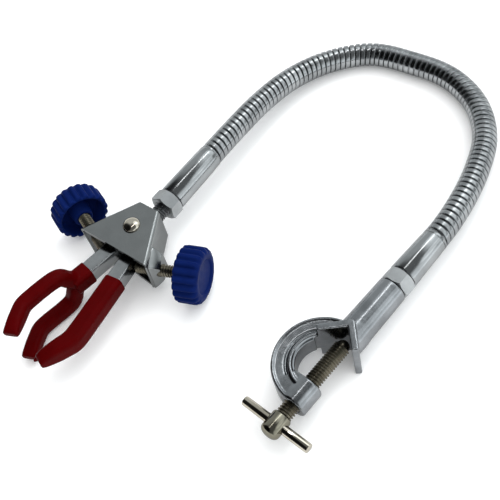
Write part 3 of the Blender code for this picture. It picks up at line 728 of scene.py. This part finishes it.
def shell_section(x, half, notch):
    """The folded sheet's section at one x, outer line then inner line back; its top has a notch."""
    top = HALF_HEIGHT
    low, middle = half + FLARE, half + FLARE / 2
    fold = (half - BEND, top - BEND)
    outer = [(low, -top), (middle, 0.0)] + arc(fold, BEND, 0, 90, 6)
    inner = [(low - SHEET, -top), (middle - SHEET, 0.0)]
    for y, z in arc(fold, INNER_BEND, 0, 90, 6):
        inner.append((min(y, half - SHEET), min(z, top - SHEET)))
    outer = [(-y, z) for y, z in outer] + outer[::-1]
    inner = [(-y, z) for y, z in inner] + inner[::-1]
    ring = []
    for y, z in outer + inner[::-1]:
        is_top = z > top - BEND - 0.01
        setback = notch * max(0.0, 1 - abs(y) / half) if is_top else 0.0
        ring.append(Vector((x + setback, y, z)))
    return ring


def hull(points):
    bm = bmesh.new()
    for point in points:
        bm.verts.new(point)
    bmesh.ops.convex_hull(bm, input=bm.verts)
    return bm


# Corners of the lug on a side wall: distances back along the wall and out of it, and height.
LUG = [
    (0.4, -1.4, 8.2),
    (0.6, 0.5, 7.4),
    (0.5, -0.4, -9.7),
    (0.5, -2.4, -9.7),
    (2.3, 4.4, 4.0),
    (10.6, 4.4, 4.0),
    (2.6, 4.3, -5.6),
    (10.6, 4.3, -5.6),
    (2.9, 3.2, -7.4),
    (10.4, 3.2, -7.4),
    (11.4, 0.5, 8.3),
    (12.6, -1.4, 8.4),
    (12.8, -2.4, -9.2),
]


def lug_points(sign):
    """Corners of the box pressed out of a side wall round its screw; its upper face slopes."""
    corner = Vector((*HOUSING_FRONT, 0.0))
    points = []
    for back, out, z in LUG:
        point = corner - WALL_FORWARD * back + WALL_OUT * out
        points.append(Vector((point.x, sign * point.y, z)))
    return points


def folded_shell():
    """The sheet that the plate and the walls are folded from, with its cut ends closed."""
    rings = [shell_section(*HOUSING_REAR, 0.0), shell_section(*HOUSING_FRONT, NOTCH)]
    bm = skin(rings, caps=False)
    bm.verts.ensure_lookup_table()
    count = len(rings[0])
    for ring in range(2):
        for i in range(count // 2 - 1):
            numbers = (i, i + 1, count - 2 - i, count - 1 - i)
            bm.faces.new([bm.verts[ring * count + k] for k in numbers])
    return add("housing_body", bm, HEAD, sharp=0)


def housing():
    """Top plate and walls in one sheet, with a lug round each screw, and the bottom plate."""
    shell = folded_shell()
    lugs = [add(f"lug_{sign}", hull(lug_points(sign)), HEAD, sharp=0) for sign in (1, -1)]
    for lug in lugs:
        bevel(lug, 0.45, 3, 20)
    combine(shell, lugs, "UNION")
    cutters = []
    for side, place in SCREWS.items():
        bore = [(-34, 0), (-34, SCREW_BORE), (-8, SCREW_BORE), (-8, 0)]
        cutters.append(add("bore_" + side, turned(bore, 48), place))
    combine(shell, cutters, "DIFFERENCE")
    shell.data.shade_smooth()
    shell.data.set_sharp_from_angle(angle=math.radians(28))
    bevel(shell, 0.28, 3, 35)
    dress(shell, "head", "polished_chrome", [FOLDED_CHROME], "housing_shell")
    inset = SHEET + 0.3
    outline = [(x, half - inset + FLARE) for x, half in (HOUSING_REAR, HOUSING_FRONT)]
    outline.append((HOUSING_FRONT[0] + NOTCH, 0.0))
    outline += [(x, -y) for x, y in outline[1::-1]]
    bm = prism(outline, -HALF_HEIGHT, -HALF_HEIGHT + SHEET)
    base = add("housing_floor_plate", bm, HEAD, sharp=0)
    bevel(base, 0.25, 2)
    dress(base, "head", "polished_chrome", [FOLDED_CHROME], "housing_base")


def rivet():
    """Rivet with a domed head on the top plate and a flatter one below."""
    top, low = HALF_HEIGHT, -HALF_HEIGHT
    profile = [(low - 1.3, 0.0), (low - 1.3, 3.0)]
    profile += arc((low - 0.7, 3.5), 0.6, 180, 90, 4)[1:]
    profile += [(low, 4.1), (low, 2.4), (top, 2.4), (top, 4.1), (top + 0.25, 4.2)]
    profile += dome(top + 0.25, 4.2, 1.95, 12)
    piece = add("pivot_rivet_domed", upright(turned(profile, 72)), HEAD, sharp=50)
    dress(piece, "head", "nickel_steel", [NICKEL], "pivot_rivet")


# ---- Arms and their vinyl -----------------------------------------------------------------------

FORK_STEM = [(-7.2, 4.6, 0), (-12.5, 5.2, 0), (-26.8, 7.4, 0), (-36.5, 9.3, 0)]
FORK_PRONG = [
    (-32.5, 8.7, 0),
    (-36.6, 9.7, 4.4),
    (-39.8, 10.5, 9.6),
    (-44.5, 11.5, 11.0),
    (-56.0, 13.7, 11.0),
    (-60.0, 13.9, 11.0),
    (-63.6, 12.6, 11.0),
    (-74.0, 8.0, 11.0),
]
SINGLE_STEM = [
    (-7.2, -5.0, 0),
    (-12.5, -5.9, 0),
    (-24.5, -7.6, 0),
    (-54.5, -11.4, 0),
    (-58.6, -11.4, 0),
    (-62.2, -10.2, 0),
    (-74.6, -5.2, 0),
]
STEEL_ENDS = (-31.0, -29.0)  # where the fork's and the single arm's steel ends in its vinyl
VINYL_STARTS = (-26.8, -24.5)
ARM_HALF = (3.7, 4.0)  # half width and half height of a steel bar
ROOT_HALF = (4.65, 4.8)  # the same with the thin vinyl of the roots
PRONG_HALF = (3.7, 3.7)  # the same for a prong with its thicker vinyl
TIP_THINNESS = 0.42  # share of the height that is left at a tip's end
EYE_RADIUS = 6.2
EYE_BORE = 2.6
PATH_STEPS = 8  # points for each span of an arm's path


def bar(path, half_width, half_height, corner, wedge=0.0, narrow=1.0):
    """A bar along a path, with rounded corners; its end may thin and narrow to a wedge."""
    corners = []
    width, height = half_width - corner, half_height - corner
    for start, across, up in ((0, 1, 1), (90, -1, 1), (180, -1, -1), (270, 1, -1)):
        corners += arc((across * width, up * height), corner, start, start + 90, 6)
    rows = []
    for i, centre in enumerate(path):
        forward = (path[min(i + 1, len(path) - 1)] - path[max(i - 1, 0)]).normalized()
        side = Vector((forward.y, -forward.x, 0)).normalized()
        rise = side.cross(forward).normalized()
        left = (path[-1] - centre).length
        thin = slim = 1.0
        if left < wedge:
            thin = TIP_THINNESS + (1 - TIP_THINNESS) * math.sqrt(left / wedge)
        if left < 2 * wedge:
            slim = narrow + (1 - narrow) * left / (2 * wedge)
        rows.append([centre + side * y * slim + rise * z * thin for y, z in corners])
    return skin(rows)


def steel_arm(name, stem, last_x, low, high):
    """The bright part of an arm: a bar with eased edges, and its eye round the rivet."""
    path = [point for point in smooth_path(stem, PATH_STEPS) if point.x >= last_x]
    arm = add(name, bar(path, *ARM_HALF, 0.7), HEAD, sharp=40)
    along = Vector(stem[1][:2]).normalized()
    across = Vector((-along.y, along.x)) * (ARM_HALF[0] - 0.3)
    far = Vector(stem[0][:2]) * 1.25
    corners = [across, far + across, far - across, -across]
    neck = add(name + "_neck", prism(corners, low + 0.02, high - 0.02), HEAD, sharp=0)
    profile = [(low, 0.0), (low, EYE_RADIUS - 0.3), (low + 0.3, EYE_RADIUS)]
    profile += [(high - 0.3, EYE_RADIUS), (high, EYE_RADIUS - 0.3), (high, 0.0)]
    eye = add(name + "_eye", upright(turned(profile, 64)), HEAD, sharp=40)
    combine(arm, [neck, eye], "UNION")
    hole = [(low - 2, 0.0), (low - 2, EYE_BORE), (high + 2, EYE_BORE), (high + 2, 0.0)]
    combine(arm, [add(name + "_hole", upright(turned(hole, 48)), HEAD)], "DIFFERENCE")
    arm.data.shade_smooth()
    arm.data.set_sharp_from_angle(angle=math.radians(30))
    return arm


def nib(path, offset):
    """The drip that dipping leaves on a tip: a small blunt cone that points a little down."""
    bm = turned([(-2.2, 0.0), (-2.2, 1.5), (-0.4, 1.2), (0.8, 0.75), (1.5, 0.0)], 16)
    direction = ((path[-1] - path[-2]).normalized() + Vector((0, 0, -0.3))).normalized()
    turn = Vector((1, 0, 0)).rotation_difference(direction).to_matrix().to_4x4()
    place = Matrix.Translation(path[-1] + Vector(offset))
    bmesh.ops.transform(bm, matrix=place @ turn, verts=bm.verts)
    return add("nib", bm, HEAD)


def vinyl(name, bars, nibs, body, node):
    """Dipped coating: its bars and drips, merged and smoothed as one skin."""
    parts = [add(name + "_bar", bar(*sizes), HEAD, sharp=0) for sizes in bars]
    parts += [nib(path, offset) for path, offset in nibs]
    whole = parts[0]
    whole.name = name
    bm = bmesh.new()
    for part in parts:
        bm.from_mesh(part.data)
    bm.to_mesh(whole.data)
    bm.free()
    for part in parts[1:]:
        bpy.data.objects.remove(part)
    rounded_from_voxels(whole, 0.32, 14)
    dress(whole, body, "red_vinyl", [VINYL], node)


def vinyl_path(stem, start):
    return [point for point in smooth_path(stem, PATH_STEPS) if point.x <= start]


def arms():
    """Both arms, bright at the rivet and dipped in vinyl further out."""
    fork = steel_arm("fork_bar", FORK_STEM, STEEL_ENDS[0], 0.15, 4.0)
    dress(fork, "fork", "polished_chrome", [CHROME], "fork_arm")
    single = steel_arm("single_bar", SINGLE_STEM, STEEL_ENDS[1], -4.0, -0.15)
    dress(single, "single", "polished_chrome", [CHROME], "single_arm")
    bars = [(vinyl_path(FORK_STEM, VINYL_STARTS[0]), *ROOT_HALF, 2.3)]
    nibs = []
    for sign in (1, -1):
        path = smooth_path([(x, y, z * sign) for x, y, z in FORK_PRONG], PATH_STEPS)
        bars.append((path, *PRONG_HALF, 2.4, 7.0))
        nibs.append((path, (0, 2.7, -0.5)))
    vinyl("fork_coating", bars, nibs, "fork", "fork_vinyl")
    path = vinyl_path(SINGLE_STEM, VINYL_STARTS[1])
    nibs = [(path, (0, side, -0.6)) for side in (-2.4, 2.4)]
    sizes = (path, *ROOT_HALF, 2.4, 9.0, 0.72)
    vinyl("single_coating", [sizes], nibs, "single", "single_vinyl")


# ---- Thumb screws and knobs ---------------------------------------------------------------------

KNOB_RADIUS = 13.5
KNOB_LOBES = 20
KNOB_POINTS = 10  # round one lobe
GROOVE_DEPTH = 1.4
# The knob's section as (x, radius, share of the grooves' depth): its face with a shallow recess,
# its rim, and then its hollow side and its hub.
KNOB_FACE = [(5.3, 0.0, 0.0), (5.3, 7.7, 0.0), (5.4, 8.1, 0.0), (6.0, 8.5, 0.0), (6.2, 8.9, 0.0)]
KNOB_FACE += [(6.2, 10.4, 0.0), (6.1, 11.0, 0.1), (5.7, 12.0, 0.35), (5.0, 12.9, 0.8)]
KNOB_RIM = [(4.2, 13.35, 1.0)] + [(x, KNOB_RADIUS, 1.0) for x in (2.8, -1.5, -4.2)]
KNOB_RIM += [(-5.0, 13.3, 0.9), (-5.4, 12.8, 0.6), (-5.5, 12.0, 0.2), (-5.4, 11.4, 0.0)]
KNOB_HOLLOW = [(-5.0, 11.2, 0.0), (1.2, 10.7, 0.0), (1.6, 10.2, 0.0), (1.6, 5.9, 0.0)]
KNOB_HUB = [(1.2, 5.5, 0.0), (-5.9, 4.7, 0.0), (-6.3, 4.3, 0.0), (-6.4, 3.9, 0.0)]
KNOB_HUB += [(-6.4, 3.15, 0.0), (1.4, 3.15, 0.0), (1.4, 0.0, 0.0)]


def knob(side):
    """Lobed knob, hollow on its inner side round a conical hub."""
    points = KNOB_LOBES * KNOB_POINTS
    rows = []
    for x, radius, lobe in KNOB_FACE + KNOB_RIM + KNOB_HOLLOW + KNOB_HUB:
        row = []
        for i in range(points):
            a = 2 * math.pi * i / points
            groove = abs(math.cos(a * KNOB_LOBES / 2)) ** 4
            r = radius - lobe * GROOVE_DEPTH * groove
            row.append(Vector((x, r * math.cos(a), r * math.sin(a))))
        rows.append(row)
    bm = skin(rows, caps=False)
    bmesh.ops.remove_doubles(bm, verts=bm.verts, dist=1e-4)
    piece = add(side + "_knob_lobed", bm, SCREWS[side], sharp=0)
    dress(piece, side + "_knob_turner", "blue_plastic", [BLUE], side + "_knob")


TIPS = {"fork": -30.2, "single": -29.5}  # ends of the thumb screws in their own frames


def thumb_screws():
    """Each arm's screw with its knob."""
    for side in SCREWS:
        tip = TIPS[side] + 0.3
        tips = (
            [(tip, 0.0), (tip + 0.12, 0.9), (tip + 0.5, 1.8), (tip + 1.2, 2.35)],
            [(0.9, 2.35), (0.9, 0.0)],
        )
        rod = threaded(tip + 1.3, 0.8, THUMB_THREAD, tips, sides=36)
        screw = add(side + "_screw_thread", rod, SCREWS[side], sharp=0)
        # The thread's dark rows get painted shade.
        materials = (THREAD_NICKEL, THREAD_ROOT_SHADE)
        dress(screw, side + "_screw", "nickel_steel", materials, side + "_thumb_screw")
        knob(side)


# ---- Clamp --------------------------------------------------------------------------------------

JAW_REACHES = (11.4, 10.4)  # of the plate on the bow's side and of the open one
JAW_PLATE = 3.0
JAW_HALF_HEIGHT = 11.0
JAW_THROAT = 15.2  # how far forward the V is cut clear
BARREL_LENGTH = 25.8
SCREW_HOLE = 4.0
STUD_HOLE = 4.3
BOW_CENTRE = Vector((-22.1, 0.5, 0.0))
BOW_OUTER, BOW_INNER, BOW_HALF_HEIGHT = 21.7, 11.4, 6.0
BOW_ENDS = (14, 180)  # degrees
BOW_STEPS = 48
BOSS_X = (-43.4, -31.2)
CLAMP_SCREW = (-48.5, -6.4)  # start of the thread and round tip
SCREW_HEAD = (-59.6, -48.8, 4.5)  # round end, neck and radius
TEE_BAR = (2.2, 17.6)  # radius and half length


def bow_section(angle):
    """Section of the bow: a thin outer rim, a wide flat band, a groove and an inner ridge."""
    top = BOW_HALF_HEIGHT
    shape = [
        (BOW_OUTER, top - 0.7),
        (BOW_OUTER - 0.5, top),
        (BOW_OUTER - 1.1, top),
        (BOW_OUTER - 1.8, top - 0.5),
        (BOW_OUTER - 5.6, top - 0.75),
        (BOW_INNER + 4.2, top - 1.5),
        (BOW_INNER + 3.4, top - 1.3),
        (BOW_INNER + 2.8, top),
        (BOW_INNER + 1.5, top),
        (BOW_INNER + 1.0, top - 0.9),
        (BOW_INNER, top - 1.2),
    ]
    shape += [(radius, -z) for radius, z in reversed(shape)]
    out = Vector((math.cos(angle), math.sin(angle), 0))
    return [BOW_CENTRE + out * radius + Vector((0, 0, z)) for radius, z in shape]


def clamp_casting():
    """Barrel, V jaw, bow and the screw's boss, merged on a fine grid so that their corners fill."""
    bow_side, open_side = JAW_REACHES
    slant = JAW_PLATE * math.sqrt(0.5)
    jaw = [
        (-0.5, 0.5),
        (-bow_side, bow_side),
        (-bow_side - slant, bow_side - slant),
        (-2 * slant, 0),
        (-open_side - slant, slant - open_side),
        (-open_side, -open_side),
        (-0.5, -0.5),
    ]
    bm = prism(jaw, -JAW_HALF_HEIGHT, JAW_HALF_HEIGHT)
    casting = add("clamp_casting", bm, CLAMP, sharp=0)
    barrel = [
        (-9.0, 0.0),
        (-9.0, 7.4),
        (-3.0, 7.6),
        (2.0, 7.25),
        (BARREL_LENGTH - 0.5, 6.95),
        (BARREL_LENGTH - 0.1, 6.75),
        (BARREL_LENGTH, 6.4),
        (BARREL_LENGTH, 0.0),
    ]
    start, end = (math.radians(angle) for angle in BOW_ENDS)
    turns = [start + (end - start) * i / BOW_STEPS for i in range(BOW_STEPS + 1)]
    low, high = BOSS_X
    boss = [(low, 0.0), (low, 5.9), (low + 0.6, 6.5), (high - 0.6, 6.5), (high, 5.9), (high, 0.0)]
    seat = [(high, 6.8), (high, -1.0), (low, -1.0), (-43.5, 3.0), (-42.0, 6.4), (-36.5, 9.0)]
    seat_height = BOW_HALF_HEIGHT - 0.5
    parts = [
        add("seat", prism(seat, -seat_height, seat_height), CLAMP, sharp=0),
        add("barrel", turned(barrel, 96), CLAMP),
        add("bow", skin([bow_section(angle) for angle in turns]), CLAMP),
        add("boss", turned(boss, 96), CLAMP),
    ]
    combine(casting, parts, "UNION")
    wide = JAW_THROAT - 2 * slant
    throat = [(-2 * slant, 0), (-JAW_THROAT, wide), (-JAW_THROAT, -wide)]
    throat_height = JAW_HALF_HEIGHT + 2
    screw = [(low - 3, 0), (low - 3, SCREW_HOLE), (high + 3, SCREW_HOLE), (high + 3, 0)]
    deep, out = 12.0, BARREL_LENGTH + 2
    bore = [(deep, 0), (deep, STUD_HOLE), (out, STUD_HOLE), (out, 0)]
    cuts = [
        add("throat", prism(throat, -throat_height, throat_height), CLAMP),
        add("screw_bore", turned(screw, 64), CLAMP),
        add("stud_bore", turned(bore, 64), CLAMP),
    ]
    combine(casting, cuts, "DIFFERENCE")
    rounded_from_voxels(casting, 0.3, 7)
    dress(casting, "clamp_base", "cast_chrome", [CAST_CHROME], "clamp_frame")


def clamp_screw():
    """The clamp's threaded shank with its round tip."""
    start, tip = CLAMP_SCREW
    radius, _, depth = CLAMP_THREAD
    root = radius - depth
    foot = tip - root
    tips = ([(start, 0.0), (start, root)], [(foot, root)] + dome(foot, root, root, 8))
    rod = threaded(start + 0.05, foot - 0.1, CLAMP_THREAD, tips, sides=56)
    screw = add("clamp_screw_thread", rod, CLAMP, sharp=0)
    # The thread's dark rows get painted shade.
    materials = (THREAD_NICKEL, THREAD_ROOT_SHADE)
    dress(screw, "clamp_screw_slider", "nickel_steel", materials, "clamp_screw")


def clamp_handle():
    """The clamp screw's domed head and the bar through it."""
    end, neck, radius = SCREW_HEAD
    profile = [(end, 0.0)]
    for i in range(1, 9):
        a = math.pi / 2 * i / 8
        profile.append((end + 2.6 * (1 - math.cos(a)), radius * math.sin(a) ** 0.8))
    profile += [(neck - 0.9, radius), (neck - 0.3, radius - 0.35), (neck, 3.5), (neck, 0.0)]
    head = add("clamp_screw_dome", turned(profile, 72), CLAMP, sharp=50)
    # The dome takes the darker nickel: painted shade for its dark reflections.
    dress(head, "clamp_handle", "nickel_steel", [SHADED_NICKEL], "clamp_screw_head")
    radius, half = TEE_BAR
    profile = [(-half, 0.0), (-half, radius - 0.5)]
    profile += [(-half + 0.15, radius - 0.15), (-half + 0.5, radius)]
    profile += [(-x, r) for x, r in reversed(profile)]
    bm = turned(profile, 48)
    bmesh.ops.rotate(bm, verts=bm.verts, matrix=Matrix.Rotation(math.pi / 2, 3, "Z"))
    bmesh.ops.translate(bm, verts=bm.verts, vec=(TEE_BAR_X, 0, 0))
    handle = add("tommy_bar", bm, CLAMP, sharp=40)
    dress(handle, "clamp_handle", "nickel_steel", [NICKEL], "clamp_tee_bar")


hose_sleeves()
fittings()
housing()
rivet()
arms()
thumb_screws()
clamp_casting()
clamp_screw()
clamp_handle()


# ---- Camera, floor and light --------------------------------------------------------------------

CAMERA_PLACE = Vector((53.06, -248.94, 347.51)) * MM
CAMERA_FORWARD = Vector((-0.14398, 0.56565, -0.81198))
CAMERA_UP = Vector((0.09876, 0.82465, 0.55696))
FOCAL_LENGTH = 64.08


def camera():
    data = bpy.data.cameras.new("camera")
    data.lens = FOCAL_LENGTH
    data.sensor_width = 36.0
    data.clip_start = 0.01
    obj = bpy.data.objects.new("camera", data)
    right = CAMERA_FORWARD.cross(CAMERA_UP).normalized()
    up = right.cross(CAMERA_FORWARD).normalized()
    turn = Matrix((right, up, -CAMERA_FORWARD.normalized())).transposed().to_4x4()
    obj.matrix_world = Matrix.Translation(CAMERA_PLACE) @ turn
    bpy.context.scene.collection.objects.link(obj)
    bpy.context.scene.camera = obj


def floor():
    """A wide pale floor just below the object, with a faint glow of its own."""
    bm = bmesh.new()
    bmesh.ops.create_grid(bm, x_segments=1, y_segments=1, size=3000)
    obj = add("floor", bm, Matrix.Translation((0, 0, -0.05)))
    nodes = Nodes("pale_floor")
    nodes.ramp(nodes.noise(3.0), [(0.3, 0.93), (0.7, 0.95)], "Base Color")
    nodes.shader.inputs["Roughness"].default_value = 0.9
    nodes.shader.inputs["Emission Color"].default_value = (1.0, 1.0, 1.0, 1.0)
    nodes.shader.inputs["Emission Strength"].default_value = 0.12
    nodes.shader.inputs["Specular IOR Level"].default_value = 0.0
    obj.data.materials.append(nodes.material)


def light(name, place, target, along, size, watts, mirrored=True):
    """A rectangular soft light, its first side along a direction; mirrored ones show in gloss."""
    data = bpy.data.lights.new(name, "AREA")
    data.shape = "RECTANGLE"
    data.size, data.size_y = size
    data.energy = watts
    obj = bpy.data.objects.new(name, data)
    back = (Vector(place) - Vector(target)).normalized()
    side = back.cross(Vector(along)).normalized()
    turn = Matrix((side.cross(back), side, back)).transposed().to_4x4()
    obj.matrix_world = Matrix.Translation(place) @ turn
    obj.visible_glossy = mirrored
    bpy.context.scene.collection.objects.link(obj)


# Directions that the room's brightness is set by.
OVER_CAMERA = (0.144, -0.566, 0.812)
FRONT_LEFT = (-0.8, -0.12, 0.58)
RIGHT = (0.766, -0.643, 0.0)
LOW_RIGHT = (0.79, -0.14, 0.597)
BACK_RIGHT = (0.6, 0.38, 0.704)
HIGH_BACK = (0.25, 0.54, 0.804)
BACK = (0.0, 1.0, 0.0)
UP = (0.0, 0.0, 1.0)
# Bright places: a direction, the cosine where each fades out, the cosine where it is full, and
# how bright it is.
GLOWS = [
    (RIGHT, 0.66, 0.93, 1.3),
    (LOW_RIGHT, 0.955, 0.98, 1.3),
    (BACK_RIGHT, 0.89, 0.98, 1.3),
    (HIGH_BACK, 0.955, 0.985, 1.1),
]


def room():
    """A soft studio room, dim over the camera and in front on the left, pale low down."""
    data = bpy.data.worlds.new("room")
    data.use_nodes = True
    tree = data.node_tree
    around = tree.nodes.new("ShaderNodeTexCoord").outputs["Generated"]

    def level(direction, first, last):
        """Brightness by how far a ray points in a direction, eased between (cosine, brightness)."""
        dot = tree.nodes.new("ShaderNodeVectorMath")
        dot.operation = "DOT_PRODUCT"
        dot.inputs[1].default_value = direction
        tree.links.new(around, dot.inputs[0])
        step = tree.nodes.new("ShaderNodeMapRange")
        step.interpolation_type = "SMOOTHSTEP"
        for socket, number in zip(("From Min", "To Min", "From Max", "To Max"), (*first, *last)):
            step.inputs[socket].default_value = number
        tree.links.new(dot.outputs["Value"], step.inputs["Value"])
        return step.outputs["Result"]

    def join(operation, one, other):
        node = tree.nodes.new("ShaderNodeMath")
        node.operation = operation
        tree.links.new(one, node.inputs[0])
        tree.links.new(other, node.inputs[1])
        return node.outputs["Value"]

    walls = level(BACK, (0.1, 0.42), (0.6, 0.76))
    dim = level(OVER_CAMERA, (0.34, 1.0), (0.54, 0.55))
    dim = join("MULTIPLY", dim, level(FRONT_LEFT, (0.64, 1.0), (0.8, 0.04)))
    low = level(UP, (0.0, 0.8), (0.3, 0.0))
    low = join("MULTIPLY", low, level(FRONT_LEFT, (0.4, 1.0), (0.7, 0.0)))
    brightness = join("ADD", join("MULTIPLY", walls, dim), low)
    for direction, edge, middle, glow in GLOWS:
        brightness = join("ADD", brightness, level(direction, (edge, 0.0), (middle, glow)))
    background = tree.nodes["Background"]
    background.inputs["Color"].default_value = (0.93, 0.98, 1.0, 1.0)
    tree.links.new(brightness, background.inputs["Strength"])
    bpy.context.scene.world = data


camera()
floor()
room()
light("ceiling_strip", (0.2, 0.5, 1.4), (0, 0, 0), (0.643, 0.766, 0), (1.3, 0.07), 2.2)
light("overhead_fill", (0, 0, 1.8), (0, 0, 0), (0, 1, 0), (4.0, 4.0), 64, mirrored=False)
bpy.context.scene.view_settings.view_transform = "Standard"

for node, material in (
    ("housing_end_block", BLACK_STEEL),
    ("arm_spring", SPRING_STEEL),
    ("pivot_spacer", NICKEL),
):
    materials = frame["nodes"][node].data.materials
    materials.clear()
    materials.append(material)
